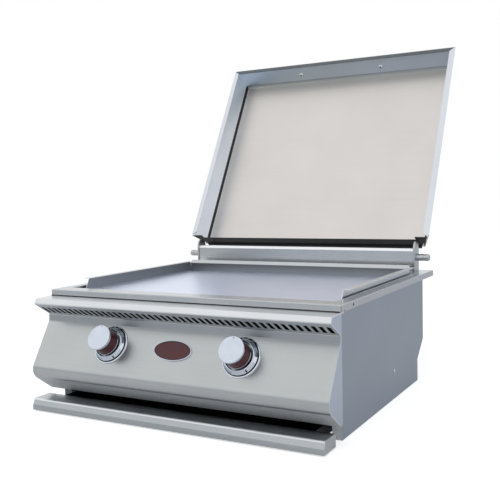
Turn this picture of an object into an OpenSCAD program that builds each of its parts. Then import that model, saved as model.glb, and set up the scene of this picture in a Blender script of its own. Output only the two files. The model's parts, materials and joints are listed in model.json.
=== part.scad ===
// Drop-in flat top grill: a folded steel body that hangs in a counter cut-out,
// with a griddle plate, two burners, a hinged lid and a drip tray that slides out.
// The origin lies on the counter, in the middle of the ledge behind the body. +Y points to the rear.

/* [Deck] */
// Width of the deck that covers the cut-out
deck_w = 660; // [594:1:726]
// Depth of the deck from front edge to rear edge
deck_d = 590; // [570:1:640]
// Height of the deck above the counter
deck_h = 13; // [11:0.5:16]
// Corner radius of the deck in plan
deck_corner = 6; // [3:0.5:10]
// Ledge that rests on the counter behind the body
rear_ledge = 60; // [50:1:70]
// Ledge that rests on the counter beside the body
side_ledge = 10; // [8:0.5:12]
// Distance from the deck's front edge to the pilot hole in each side edge
pilot_back = 56; // [40:1:80]
// Thickness of the folded sheets
sheet = 1.5; // [1.2:0.1:1.8]
// Deck strip beside the griddle opening
side_rim = 26; // [25.5:0.5:28]
// Deck strip in front of the griddle opening
front_rim = 38; // [34:1:44]
// Deck strip behind the griddle opening
rear_rim = 90; // [86:1:96]
// Radius of the pilot hole in each side edge of the deck
pilot_r = 2.5; // [1.5:0.1:3]

/* [Body] */
// Depth of the body below the counter
body_h = 230; // [207:1:253]
// Distance from the deck's front edge to the side panels
panel_back = 20; // [16:0.5:24]
// Width of the side panels' folds at front and top
panel_fold = 19; // [16:0.5:20]
// Height of the upright edge below the rear slant
heel_up = 49; // [44:1:55]
// Height of the rear slant
heel_rise = 40; // [32:1:44]
// How far the rear slant comes forward
heel_in = 46; // [40:1:52]
// Depth of the firebox floor below the counter
floor_z = 148.5; // [146:0.5:151]
// Distance from the deck's front edge to the side screws
side_screw_back = 313; // [280:1:340]
// Radius of the side screws' shank
screw_r = 2; // [1.5:0.1:2.5]

/* [Control panel] */
// Depth of the shelf in front of the deck
shelf_d = 44; // [40:1:50]
// Height of the shelf's front lip
lip_h = 11; // [9:0.5:14]
// Depth of the neck below the counter, where the slotted slope ends
neck_z = 38; // [36:0.5:42]
// Depth of the top of the knob face below the counter
face_top_z = 54; // [52:0.5:58]
// Lean of the knob face from upright
face_lean = 31; // [28:0.5:33]
// Length of the knob face down to the unrounded nose
face_len = 115.6; // [112:0.2:118]
// Radius of the nose
nose_r = 23; // [18:0.5:26]
// Height of the panel's lowest edge above the body's lower edge
panel_up = 34; // [31:0.5:36]
// Plain end of the slope beside the outermost vent slots
slot_end = 6; // [4:1:40]
// Distance between vent slots
slot_pitch = 14.2; // [12:0.1:16]
// Width of a vent slot
slot_w = 8; // [4:0.1:9]
// Length of a vent slot
slot_len = 28; // [14:0.5:29]
// Width of the oval plate
emblem_w = 85; // [70:1:100]
// Height of the oval plate
emblem_h = 41; // [34:1:48]

/* [Knobs] */
// Distance of each knob from the deck's side
knob_in = 182; // [150:1:200]
// Distance of the knobs down the face
knob_down = 38.6; // [36:0.2:42]
// Radius of the cap
cap_r = 25.5; // [22:0.5:26]
// Height of the cap above the face
knob_h = 43; // [36:0.5:48]
// Outer radius of the bezel
bezel_r = 38.5; // [36.5:0.5:41]
// Inner radius of the bezel
bezel_bore_r = 28; // [27:0.1:29]
// How far a knob is pushed in to turn it
push_travel = 4; // [3:0.2:5]
// Radius of the valve stem
stem_r = 4; // [3:0.1:5]
// Radial clearance of running fits
running_fit = 0.05; // [0.02:0.01:0.1]

/* [Griddle] */
// Thickness of the griddle plate
plate_t = 6; // [5:0.5:8]
// Drop from the deck's top to the griddle plate
plate_drop = 9.5; // [8:0.5:11]
// Gap around the griddle plate
plate_gap = 4; // [3:0.5:5]
// Height of the walls on the griddle plate
splash_h = 24.5; // [22:0.5:26]
// Width of the side walls' top lips
splash_lip = 15; // [12:0.5:15.5]
// Radius of the burner tubes
burner_r = 19; // [16:0.5:22]
// Depth of the burners' axes below the counter
burner_z = 100; // [98:0.5:103]
// Number of flame ports along each side of a burner
port_count = 14; // [8:1:16]

/* [Drip tray] */
// Depth of the tray's pan
pan_h = 21.8; // [18:0.2:22]
// Front-to-back length of the pan
pan_len = 460; // [420:1:470]
// Depth of the tray's front grip
grip_d = 51; // [44:1:56]
// Distance from the grip's ends to the deck's sides
grip_in = 6; // [2:0.5:20]
// How far the tray slides out
tray_travel = 400; // [300:10:420]

/* [Hinge] */
// Distance from the deck's rear edge to the riser's front face
riser_back = 54; // [52:0.5:56]
// Height of the riser above the deck
riser_h = 55; // [53:0.5:56]
// Deck strip beside the riser
riser_in = 33.5; // [33:0.5:45]
// Radius of the hinge rod
rod_r = 8; // [6:0.25:8.5]
// Height of the hinge rod's axis above the deck
rod_up = 33; // [32.5:0.1:34]
// Distance from the riser's front face to the hinge rod's axis
rod_back = 14.7; // [14.2:0.1:15.2]
// How far the hinge rod stands out past the deck on each side
rod_out = 1; // [0:0.5:4]
// Thickness of the lid's hinge arms
arm_t = 5; // [4:0.5:8]

/* [Lid] */
// Angle between the open lid and the closed lid
lid_open = 119.2; // [90:0.1:119.2]
// Distance from the hinge axis to the lid's rear wall
lid_rear = 40; // [39.5:0.1:42]
// How far the closed lid reaches past the deck's front edge
lid_over = 39.3; // [10:0.1:42]
// Depth of the lid below the hinge axis
lid_drop = 25; // [23:0.1:25.5]
// Height of the lid above the hinge axis
lid_rise = 31.5; // [31.5:0.5:36]
// How far the lid's walls lean in
lid_draft = 21.5; // [16:0.5:26]
// Width of the lips along the lid's sides
lid_side_lip = 15; // [10:0.5:15]
// Width of the lip along the lid's front edge
lid_front_lip = 12; // [8:0.5:16]
// Length of the handle bar
bar_len = 300; // [260:1:400]
// Distance from the handle bar's ends to its posts
post_in = 30; // [15:1:60]
// Distance from the lid's front edge to the handle's posts
post_up = 34; // [28:0.5:36]
// Distance from the lid's front wall to the handle bar's axis
bar_out = 34; // [30:0.5:36]
// Radius of the handle bar
bar_r = 7; // [6:0.5:8]

/* [Hidden] */
$fn = 64;

steel = [0.74, 0.75, 0.77];
bright_steel = [0.86, 0.87, 0.88];
side_steel = [0.55, 0.57, 0.61];
griddle_steel = [0.66, 0.69, 0.76];
lid_steel = [0.81, 0.79, 0.77];
chrome = [0.88, 0.89, 0.93];
maroon = [0.32, 0.13, 0.15];
brass = [0.72, 0.58, 0.32];
dark = [0.16, 0.16, 0.17];

// Gap of moving pieces and the small clearance of fixed pins in their holes
slide_gap = 0.3;
pin_fit = 0.1;
over = 1;

deck_front = rear_ledge / 2 - deck_d;
deck_rear = rear_ledge / 2;
body_rear = -rear_ledge / 2;
half_w = deck_w / 2;
body_x = half_w - side_ledge;
body_in = body_x - sheet;
panel_front = deck_front + panel_back;
flange_x = body_x - panel_fold;

// Under the deck, the folds start behind the panel's shelf, and a small relief cut ends each of them
shelf_lap = 12;
relief_d = 3;
relief_h = 3;
fold_front = deck_front + shelf_lap + relief_d;
top_fold = 14;
rear_fold = 15;
body_top = deck_h - sheet;

heel_low = body_h - heel_up;
heel_top = heel_low - heel_rise;
vent_pitch = 50;
vent_w = 36;
vent_h = 6;
vent_z = 35;
vent_side = floor((body_in - 2 * vent_pitch) / vent_pitch);

// Outline of the control panel's outer face, front to back against height, from the deck's front edge
lip_top = [-shelf_d, -1];
lip_low = lip_top + [-5, -lip_h];
neck_top = [-7, -neck_z];
face_top = [-9, -face_top_z];
face_dir = [-sin(face_lean), -cos(face_lean)];
nose = face_top + face_len * face_dir;
panel_low_z = body_h - panel_up;
panel_tip = [-9, -panel_low_z];
neck_low = face_top + [1, 2];
vent_dir = (neck_top - lip_low) / norm(neck_top - lip_low);

// The slots' centres lie past the middle of the slope
slot_place = 0.58 * norm(neck_top - lip_low);
slot_count = 1 + floor((deck_w - 2 * slot_end - slot_w) / slot_pitch);
end_x = half_w - 1;
step_x = flange_x + 2.5;
step_top = 12;
step_low = 110;
emblem_t = 1.6;
emblem_rim_h = 2.6;
emblem_rim = 3;

opening_x = half_w - side_rim;
opening_front = deck_front + front_rim;
opening_rear = deck_rear - rear_rim;
plate_x = opening_x - plate_gap;
plate_front = opening_front + plate_gap;
plate_rear = opening_rear - 2;
plate_top = deck_h - plate_drop;
plate_low = plate_top - plate_t;
splash_x = plate_x - 2;
splash_front = plate_front + 32;
splash_slant = 13;
splash_rear = plate_rear - 4;
splash_top = plate_top + splash_h;
splash_back_top = splash_top + 4;
splash_bend = 8;
rail_h = 28;
rail_lap = 12;
drain_w = 120;
drain_d = 16;
drain_y = plate_front + 22;
chute_wall = 4;
chute_gap = 16.2;

knob_x = half_w - knob_in;
burner_front = deck_front + 34;
floor_front = burner_front - 10;
floor_rear = body_rear - heel_in - 4 * sheet;
burner_rear = floor_rear - 8;
burner_len = burner_rear - burner_front;
burner_neck = 50;
burner_cone = 20;
mouth_r = burner_r - 5;
port_r = 1.5;
port_lean = 50;
port_front = burner_front + 2 * burner_neck;
port_rear = burner_rear - 30;
seat_z = -burner_z - burner_r;
bar_w = 25;
bar_fold = 5.5;
bar_front_y = port_front + 11;
bar_rear_y = burner_rear - 4;

side_screw_y = deck_front + side_screw_back;
side_screw_z = -floor_z - 22.5;
side_screw_len = 8;
side_head_r = 4;
side_head_h = 2.3;
floor_fold_z = side_screw_z - 9;

spark_y = bar_front_y - bar_w / 2 - 0.5;
spark_x = knob_x - 30;
spark_base_r = 5;
spark_base_h = 4;
spark_r = 3;
spark_h = 34;
spark_tip_h = 8;

manifold_r = 11;
manifold_z = burner_z + 32;
manifold_foot = 12;
manifold_end = body_in - manifold_foot - 0.5;
feed_x = body_x - 30;
feed_r = 6;
inlet_r = 7.9;
inlet_len = 16;
inlet_flange = 4;
inlet_flange_r = 13;
inlet_bore_r = 3.5;
inlet_shank = 14;
valve_r = 12;
valve_deep = 42;
valve_end = 6;
valve_foot_r = 6;
nozzle_r = 5;
nozzle_y = deck_front + 4;
nozzle_reach = 4;

collar_r = stem_r + 3;
collar_len = 8;
collar_z = -14;
collar_bore = 26;
stem_deep = 30;
stem_head = knob_h - 12;
shoulder_r = stem_r + 2.5;
shoulder_h = 3;
core_r = 12;
ring_z = 12;
ring_h = 2;
grip_high = knob_h - 8;
cap_t = 3;
cap_z = knob_h - cap_t;
bezel_h = 11;
bezel_shoulder = 9;
bezel_foot = 1.4;
tick_turn = -52;
tick_w = 2.2;

rod_y = deck_rear - riser_back + rod_back;
rod_z = deck_h + rod_up;
riser_w = deck_w - 2 * riser_in;
riser_edge = [deck_rear - riser_back, deck_h + riser_h];
riser_top_d = 9;
riser_lip = riser_edge + [riser_top_d, 0];
riser_lip_h = 8;
riser_foot = 24;
riser_bend = 4;
ear_t = 4;
ear_d = 35;
ear_top = rod_z + 38;
rod_edge = 1.5;
rod_x = half_w + rod_out;
arm_x = riser_w / 2 - 11.5;
arm_leg = 7.5;
arm_front = 3.5;
arm_back = 10;
arm_hub = 3;
rest_r = 6;
heel = [arm_back * cos(lid_open) + lid_rise * sin(lid_open),
    lid_rise * cos(lid_open) - arm_back * sin(lid_open)];

lid_front = rod_y - deck_front + lid_over;
lid_lean = atan2(lid_draft, lid_drop + lid_rise);
rear_opening_x = riser_w / 2 - 0.5;
rear_opening_h = 18;
corner_cut_y = 7;
corner_cut_x = 28;
post_x = bar_len / 2 - post_in;
post_z = -lid_drop + post_up * cos(lid_lean);
post_y = -lid_front + post_up * sin(lid_lean);
post_r = 5;
handle_screw_r = 2.5;
handle_screw_len = 14;
handle_head_r = 7;
handle_head_h = 4.4;

rim_gap = 1.7;
rim_z = -body_h + 2 + pan_h;
chute_low = -rim_z - chute_gap;
pan_x = flange_x - 15;
pan_rim_x = flange_x - 2;
pan_front = deck_front - 20;
runner_low = rim_z - sheet - slide_gap - sheet;
runner_top = rim_z + rim_gap + sheet;
runner_x = flange_x - 12.5;
grip_w = deck_w - 2 * grip_in;
grip_top = rim_z + 1.7;
grip_low = -body_h + 2;
grip_slope = 14;
grip_fold = 11;

// Points and outlines
function unit(v) = v / norm(v);
function left_of(v) = [-v[1], v[0]];
function turned(v, a) = [v[0] * cos(a) - v[1] * sin(a), v[0] * sin(a) + v[1] * cos(a)];

// Arc that rounds the corner q between the lines from p and to s
function rounded(p, q, s, r, steps = 8) =
    let (a = unit(q - p), b = unit(s - q))
    let (turn = atan2(a[0] * b[1] - a[1] * b[0], a * b))
    let (start = q - a * r * tan(abs(turn) / 2), side = sign(turn))
    let (centre = start + left_of(a) * side * r)
    [for (i = [0 : steps]) centre + turned(start - centre, turn * i / steps)];

// The same path moved to its left by t, with mitred corners
function moved_left(path, t) =
    let (last = len(path) - 1)
    [for (i = [0 : last])
        let (before = left_of(unit(path[max(i, 1)] - path[max(i, 1) - 1])))
        let (after = left_of(unit(path[min(i + 1, last)] - path[min(i + 1, last) - 1])))
        let (middle = unit(before + after))
        path[i] + middle * t / (middle * before)];

function backwards(path) = [for (i = [len(path) - 1 : -1 : 0]) path[i]];

module folded(path, t = sheet) polygon(concat(path, backwards(moved_left(path, t))));

// Sheet folded along a path of depth and height, running across the body
module folded_across(path, width, t = sheet)
    rotate([90, 0, 90]) linear_extrude(height = width, center = true) folded(path, t);

// Flat outline of depth and height, from x0 to x1
module plate_across(x0, x1)
    translate([x0, 0, 0]) rotate([90, 0, 90]) linear_extrude(height = x1 - x0) children();

// Flat outline of width and height, from y0 to y1
module plate_along(y0, y1)
    translate([0, y1, 0]) rotate([90, 0, 0]) linear_extrude(height = y1 - y0) children();

module on_side(side) mirror([side < 0 ? 1 : 0, 0, 0]) children();

// Place on the knob face at x and a distance down the face, with +Z out of the face
module on_face(x, down)
    translate([x, deck_front + (face_top + down * face_dir)[0], (face_top + down * face_dir)[1]])
        rotate([90 - face_lean, 0, 0]) children();

// Place on the slotted slope at x and a distance from the lip, with +Y along the slope
module on_vent(x, along)
    translate([x, deck_front + (lip_low + along * vent_dir)[0], (lip_low + along * vent_dir)[1]])
        rotate([atan2(vent_dir[1], vent_dir[0]), 0, 0]) children();

// Closed lid drawn about the hinge axis, turned up to its open place
module on_lid() translate([0, rod_y, rod_z]) rotate([-lid_open, 0, 0]) children();

module rounded_block(width, y0, y1, r, h)
    translate([0, (y0 + y1) / 2, 0]) linear_extrude(height = h) {
        square([width - 2 * r, y1 - y0], center = true);
        square([width, y1 - y0 - 2 * r], center = true);
        for (sx = [-1, 1], sy = [-1, 1])
            translate([sx * (width / 2 - r), sy * ((y1 - y0) / 2 - r)]) circle(r = r);
    }

module oval(width, height, steps = 48)
    polygon([for (i = [0 : steps - 1]) [width / 2 * cos(360 * i / steps), height / 2 * sin(360 * i / steps)]]);

// Rounded screw head that stands on the plane z = 0
module screw_head(r, h)
    rotate_extrude() polygon(concat([[0, 0]], [for (a = [0 : 15 : 90]) [r * cos(a), h * sin(a)]]));

// Outer outline of the control panel from the deck's front edge down to its lowest edge
panel_outline = concat(
    [[0, 0], lip_top, lip_low, neck_top, neck_low, face_top],
    rounded(face_top, nose, panel_tip, nose_r),
    [panel_tip]
);

// Outline of the tray's grip, from its rear lower corner round to its folded lower edge
grip_outline = concat(
    [[0, grip_low], [0, grip_top]],
    rounded([0, grip_top], [6 - grip_d, grip_top], [-grip_d, grip_top - grip_slope], 6, 4),
    [[-grip_d, grip_top - grip_slope], [-grip_d, grip_low]]
);

// Deck: a folded ring with a wall all round, and folds under its side and rear edges that lie on the counter
module deck_frame() color(bright_steel)
    difference() {
        rounded_block(deck_w, deck_front, deck_rear, deck_corner, deck_h);
        translate([0, 0, sheet])
            rounded_block(deck_w - 2 * sheet, deck_front + sheet, deck_rear - sheet,
                deck_corner - sheet, deck_h - 2 * sheet);
        translate([-opening_x, opening_front, -over])
            cube([2 * opening_x, opening_rear - opening_front, deck_h + 2 * over]);
        translate([-body_x, fold_front - over, -over])
            cube([2 * body_x, body_rear - fold_front + over, sheet + 2 * over]);
        translate([sheet - half_w, deck_front + sheet, -over])
            cube([deck_w - 2 * sheet, fold_front - deck_front - sheet, sheet + 2 * over]);
        translate([-half_w - over, fold_front - relief_d, -over])
            cube([deck_w + 2 * over, relief_d, relief_h + over]);
        for (side = [-1, 1])
            translate([side * half_w, deck_front + pilot_back, deck_h / 2])
                rotate([0, 90, 0]) cylinder(r = pilot_r, h = 4 * sheet, center = true);
    }

// Side panel: an upright plate with folds at its front edge and top edge
module side_panel(side) color(side_steel)
    on_side(side) difference() {
        union() {
            plate_across(body_in, body_x) polygon([
                [panel_front, body_top], [body_rear, body_top], [body_rear, -heel_top],
                [body_rear - heel_in, -heel_low], [body_rear - heel_in, -body_h], [panel_front, -body_h]
            ]);
            translate([flange_x, panel_front, -body_h]) cube([panel_fold, sheet, body_h + body_top]);
            translate([body_x - top_fold, panel_front, body_top - sheet])
                cube([top_fold, body_rear - rear_fold - 1 - panel_front, sheet]);
        }
        translate([body_x, side_screw_y, side_screw_z])
            rotate([0, 90, 0]) cylinder(r = screw_r + pin_fit, h = 4 * sheet, center = true);
    }

module side_screw(side) color(chrome)
    on_side(side) translate([body_x, side_screw_y, side_screw_z]) rotate([0, 90, 0]) {
        translate([0, 0, -side_screw_len]) cylinder(r = screw_r, h = side_screw_len);
        screw_head(side_head_r, side_head_h);
    }

module back_panel() color(side_steel)
    difference() {
        folded_across([
            [body_rear - heel_in, -body_h], [body_rear - heel_in, -heel_low], [body_rear, -heel_top],
            [body_rear, body_top], [body_rear - rear_fold, body_top]
        ], 2 * body_in);
        translate([-feed_x, body_rear, -manifold_z])
            rotate([90, 0, 0]) cylinder(r = feed_r + 1, h = 4 * sheet, center = true);
        for (i = [-vent_side : vent_side])
            translate([i * vent_pitch, body_rear, -vent_z]) cube([vent_w, 4 * sheet, vent_h], center = true);
    }

// Floor between the burners and the drip tray, with folds that the side screws hold
module firebox_floor() color(steel)
    difference() {
        plate_along(floor_front, floor_rear) folded([
            [body_in, floor_fold_z], [body_in, -floor_z], [-body_in, -floor_z], [-body_in, floor_fold_z]
        ]);
        for (side = [-1, 1])
            translate([side * body_in, side_screw_y, side_screw_z])
                rotate([0, 90, 0]) cylinder(r = screw_r + pin_fit, h = 4 * sheet, center = true);
        translate([0, drain_y, -floor_z])
            cube([drain_w + 2 * chute_wall + 2, drain_d + 2 * chute_wall + 2, 4 * sheet], center = true);
    }

// Control panel: one folded sheet from under the deck to its lowest edge
module control_panel() color(steel)
    difference() {
        translate([0, deck_front, 0]) folded_across(concat([[shelf_lap, 0]], panel_outline), deck_w);
        for (i = [0 : slot_count - 1])
            on_vent((i - (slot_count - 1) / 2) * slot_pitch, slot_place)
                cube([slot_w, slot_len, 6 * sheet], center = true);
        for (side = [-1, 1])
            on_face(side * knob_x, knob_down) cylinder(r = stem_r + 4, h = 6 * sheet, center = true);
    }

// End cap inside each end of the control panel, with a step back to the side panel's front fold
module panel_end(side) color(side_steel)
    on_side(side) {
        plate_across(end_x - sheet, end_x)
            translate([deck_front, 0])
                polygon(concat(moved_left(panel_outline, sheet), [[0, 2 * sheet - panel_low_z]]));
        translate([step_x, deck_front - sheet, -step_low]) cube([end_x - step_x, sheet, step_low - step_top]);
        translate([step_x, deck_front - sheet, -step_low])
            cube([sheet, panel_back + sheet, step_low - step_top]);
    }

// Bare oval plate with a raised rim
module emblem_plate() color(maroon)
    on_face(0, knob_down) {
        linear_extrude(height = emblem_t) oval(emblem_w, emblem_h);
        linear_extrude(height = emblem_rim_h) difference() {
            oval(emblem_w, emblem_h);
            oval(emblem_w - 2 * emblem_rim, emblem_h - 2 * emblem_rim);
        }
    }

// Griddle and the walls that stand on it
module griddle_plate() color(griddle_steel)
    difference() {
        translate([-plate_x, plate_front, plate_low])
            cube([2 * plate_x, plate_rear - plate_front, plate_t]);
        translate([0, drain_y, plate_low + plate_t / 2])
            cube([drain_w, drain_d, plate_t + 2 * over], center = true);
    }

module splash_side(side) color(bright_steel)
    on_side(side) intersection() {
        plate_along(splash_front - over, splash_rear) folded([
            [splash_x, plate_top], [splash_x, splash_top - sheet], [splash_x + splash_lip, splash_top - sheet]
        ]);
        plate_across(splash_x - 2 * sheet, splash_x + splash_lip + over) polygon([
            [splash_front, plate_top - over], [splash_front, plate_top],
            [splash_front + splash_slant, splash_top + over],
            [splash_rear, splash_top + over], [splash_rear, plate_top - over]
        ]);
    }

module splash_back() color(bright_steel)
    folded_across([
        [splash_rear + splash_bend, splash_back_top], [splash_rear, splash_back_top - splash_bend],
        [splash_rear, plate_top]
    ], 2 * splash_x);

module griddle_rail(side) color(steel)
    on_side(side) plate_along(plate_front, plate_rear)
        folded([[body_in, plate_low - rail_h], [body_in, plate_low], [plate_x - rail_lap, plate_low]]);

// Burners, gas line and ignition
module burner_form(inset)
    rotate([-90, 0, 0]) rotate_extrude() polygon([
        [0, -over * sign(inset)], [mouth_r - inset, -over * sign(inset)], [mouth_r - inset, burner_neck],
        [burner_r - inset, burner_neck + burner_cone], [burner_r - inset, burner_len - inset],
        [0, burner_len - inset]
    ]);

module burner(side) color(steel)
    translate([side * knob_x, burner_front, -burner_z]) difference() {
        burner_form(0);
        burner_form(sheet);
        for (lean = [-port_lean, port_lean], i = [0 : port_count - 1])
            translate([0, port_front - burner_front + i * (port_rear - port_front) / (port_count - 1), 0])
                rotate([0, lean, 0]) cylinder(r = port_r, h = burner_r + over);
    }

module burner_bar(y) color(steel)
    folded_across([[y, seat_z - bar_fold], [y, seat_z], [y - bar_w, seat_z]], 2 * body_in);

module igniter(side) color(dark)
    translate([side * spark_x, spark_y, seat_z]) {
        cylinder(r = spark_base_r, h = spark_base_h);
        cylinder(r = spark_r, h = spark_h);
        cylinder(r = 1, h = spark_h + spark_tip_h);
    }

module gas_manifold() color(brass) {
    translate([0, deck_front, -manifold_z])
        rotate([0, 90, 0]) cylinder(r = manifold_r, h = 2 * manifold_end, center = true);
    for (side = [-1, 1])
        on_side(side) translate([manifold_end - over, deck_front - manifold_r / 2, 1 - manifold_z - manifold_r])
            cube([manifold_foot, panel_back + manifold_r / 2, 2 * (manifold_r - 1)]);
}

module gas_feed_pipe() color(brass)
    difference() {
        translate([-feed_x, deck_front, -manifold_z])
            rotate([-90, 0, 0]) cylinder(r = feed_r, h = body_rear - inlet_shank - deck_front);
        translate([0, deck_front, -manifold_z])
            rotate([0, 90, 0]) cylinder(r = manifold_r, h = deck_w, center = true);
    }

// Male flare fitting that the supply hose screws onto, behind the body
module gas_inlet() color(brass)
    translate([-feed_x, body_rear, -manifold_z]) rotate([-90, 0, 0]) difference() {
        union() {
            translate([0, 0, -inlet_shank]) cylinder(r = feed_r + 1 - pin_fit, h = inlet_shank);
            cylinder(r = inlet_flange_r, h = inlet_flange);
            translate([0, 0, inlet_flange]) cylinder(r = inlet_r, h = inlet_len);
        }
        translate([0, 0, -inlet_shank - over])
            cylinder(r = inlet_bore_r, h = inlet_shank + inlet_flange + inlet_len + 2 * over);
    }

// Valve behind the face, with a nozzle into the burner's mouth and a foot on the manifold
module gas_valve(side) color(brass)
    difference() {
        union() {
            on_face(side * knob_x, knob_down) translate([0, 0, -valve_deep])
                cylinder(r = valve_r, h = valve_deep - sheet);
            translate([side * knob_x, nozzle_y, -burner_z]) rotate([-90, 0, 0])
                cylinder(r = nozzle_r, h = burner_front + nozzle_reach - nozzle_y);
            translate([side * knob_x, deck_front, -manifold_z])
                cylinder(r = valve_foot_r, h = manifold_z - burner_z);
        }
        on_face(side * knob_x, knob_down) {
            translate([0, 0, -collar_bore]) cylinder(r = collar_r + running_fit, h = collar_bore);
            translate([0, 0, valve_end - valve_deep]) cylinder(r = stem_r + running_fit, h = valve_deep);
        }
        translate([0, deck_front, -manifold_z])
            rotate([0, 90, 0]) cylinder(r = manifold_r, h = deck_w, center = true);
    }

module grease_chute() color(steel)
    translate([0, drain_y, 0]) difference() {
        translate([-drain_w / 2 - chute_wall, -drain_d / 2 - chute_wall, -chute_low])
            cube([drain_w + 2 * chute_wall, drain_d + 2 * chute_wall, chute_low + plate_low]);
        translate([-drain_w / 2 - chute_wall + sheet, -drain_d / 2 - chute_wall + sheet, -chute_low - over])
            cube([drain_w + 2 * chute_wall - 2 * sheet, drain_d + 2 * chute_wall - 2 * sheet,
                chute_low + plate_low + 2 * over]);
    }

// Knobs: a bezel on the face, a collar that only slides, and a stem, core, grip and cap that also turn
module bezel(side) color(chrome)
    on_face(side * knob_x, knob_down) difference() {
        rotate_extrude() polygon([
            [bezel_bore_r, 0], [bezel_r, 0], [bezel_r, bezel_foot], [bezel_r - 3, bezel_foot + 0.8],
            [bezel_r - 3.2, bezel_foot + 2], [bezel_bore_r + 3.4, bezel_shoulder],
            [bezel_bore_r + 2.6, bezel_shoulder], [bezel_bore_r + 2.2, bezel_h - 0.4], [bezel_bore_r, bezel_h]
        ]);
        rotate([0, 0, tick_turn]) translate([(bezel_bore_r + bezel_r) / 2, 0, bezel_shoulder - 1])
            cube([(bezel_r - bezel_bore_r) / 2, tick_w, 4], center = true);
    }

module stem_collar(side) color(brass)
    on_face(side * knob_x, knob_down) translate([0, 0, collar_z]) difference() {
        cylinder(r = collar_r, h = collar_len);
        translate([0, 0, -over]) cylinder(r = stem_r + running_fit, h = collar_len + 2 * over);
    }

module valve_stem(side) color(brass)
    on_face(side * knob_x, knob_down) {
        translate([0, 0, -stem_deep]) cylinder(r = stem_r, h = stem_deep + stem_head);
        translate([0, 0, collar_z + collar_len + slide_gap]) cylinder(r = shoulder_r, h = shoulder_h);
    }

module knob_core(side) color(chrome)
    on_face(side * knob_x, knob_down) rotate_extrude() polygon([
        [stem_r, ring_z], [cap_r, ring_z], [cap_r, ring_z + ring_h], [core_r, ring_z + ring_h],
        [core_r, grip_high], [cap_r - 2, grip_high], [cap_r - 1.6, cap_z], [0, cap_z], [0, stem_head], [stem_r, stem_head]
    ]);

module knob_grip(side) color(maroon)
    on_face(side * knob_x, knob_down) rotate_extrude() polygon([
        [core_r, ring_z + ring_h], [cap_r - 0.5, ring_z + ring_h], [cap_r - 1.4, (ring_z + grip_high) / 2],
        [cap_r - 2.4, grip_high], [core_r, grip_high]
    ]);

module knob_cap(side) color(chrome)
    on_face(side * knob_x, knob_down) rotate_extrude() polygon([
        [0, cap_z], [cap_r - 1, cap_z], [cap_r, cap_z + 0.8],
        [cap_r, knob_h - 0.8], [cap_r - 0.8, knob_h], [0, knob_h]
    ]);

// Hinge: a riser and two ears on the deck, and a rod held in the ears
module hinge_riser() color(steel)
    folded_across(concat(
        [riser_lip - [0, riser_lip_h]],
        rounded(riser_lip - [0, riser_lip_h], riser_lip, riser_edge, riser_bend, 4),
        rounded(riser_lip, riser_edge, [riser_edge[0], deck_h], riser_bend, 4),
        [[riser_edge[0], deck_h], [riser_edge[0] + riser_foot, deck_h]]
    ), riser_w);

module hinge_ear(side) color(steel)
    on_side(side) difference() {
        plate_across(riser_w / 2, riser_w / 2 + ear_t) {
            translate([rod_y - ear_d / 2, deck_h]) square([ear_d, ear_top - ear_d / 2 - deck_h]);
            translate([rod_y, ear_top - ear_d / 2]) circle(d = ear_d);
        }
        translate([riser_w / 2, rod_y, rod_z])
            rotate([0, 90, 0]) cylinder(r = rod_r + running_fit, h = 4 * ear_t, center = true);
    }

module hinge_rod() color(steel)
    translate([0, rod_y, rod_z]) rotate([0, 90, 0]) rotate_extrude() polygon([
        [0, -rod_x], [rod_r - rod_edge, -rod_x], [rod_r, rod_edge - rod_x],
        [rod_r, rod_x - rod_edge], [rod_r - rod_edge, rod_x], [0, rod_x]
    ]);

// Rubber pad on the deck that the open lid's arm leans on
module lid_rest(side) color(dark)
    translate([side * arm_x, rod_y + heel[0] - 2, deck_h])
        cylinder(r = rest_r, h = rod_z + heel[1] - slide_gap - deck_h);

// Lid: drafted walls round a flat panel, with lips turned in along its open edges
module lid_block(inset, low, high) {
    wall = inset / cos(lid_lean);
    slope = tan(lid_lean);
    function edge(z) = -wall - slope * (z + lid_drop);
    intersection() {
        plate_across(-half_w, half_w) polygon([
            [-lid_rear - inset, low], [-lid_rear - inset, high],
            [-lid_front - edge(high), high], [-lid_front - edge(low), low]
        ]);
        plate_along(-lid_front - over, -lid_rear + over) polygon([
            [half_w + edge(low), low], [half_w + edge(high), high],
            [-half_w - edge(high), high], [-half_w - edge(low), low]
        ]);
    }
}

module lid_shell() color(lid_steel)
    on_lid() difference() {
        lid_block(0, -lid_drop, lid_rise);
        lid_block(sheet, sheet - lid_drop, lid_rise - sheet);
        translate([lid_side_lip - half_w, lid_front_lip - lid_front, -lid_drop - over])
            cube([deck_w - 2 * lid_side_lip, lid_front - lid_front_lip - lid_rear - sheet, sheet + 2 * over]);
        translate([-rear_opening_x, -lid_rear - 2 * sheet, -lid_drop - over])
            cube([2 * rear_opening_x, 4 * sheet, rear_opening_h + over]);
        for (side = [-1, 1]) {
            on_side(side) plate_along(-lid_rear - corner_cut_y, -lid_rear + over) polygon([
                [half_w - 1, -lid_drop - over], [half_w + over, -lid_drop - over],
                [half_w + over, lid_rise - corner_cut_y], [half_w - corner_cut_x, lid_rise - corner_cut_y]
            ]);
            translate([side * post_x, post_y, post_z])
                rotate([90 - lid_lean, 0, 0])
                    cylinder(r = handle_screw_r + pin_fit, h = 6 * sheet, center = true);
        }
    }

module lid_arm(side) color(steel)
    on_lid() on_side(side) difference() {
        plate_across(arm_x - arm_t / 2, arm_x + arm_t / 2) {
            polygon([
                [-arm_front, 0], [arm_back, 0], [arm_back, lid_rise], [-lid_rear, lid_rise],
                [-lid_rear, lid_rise - arm_leg], [-arm_front, lid_rise - arm_leg]
            ]);
            circle(r = rod_r + arm_hub);
        }
        translate([arm_x, 0, 0])
            rotate([0, 90, 0]) cylinder(r = rod_r + running_fit, h = 4 * arm_t, center = true);
    }

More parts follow.
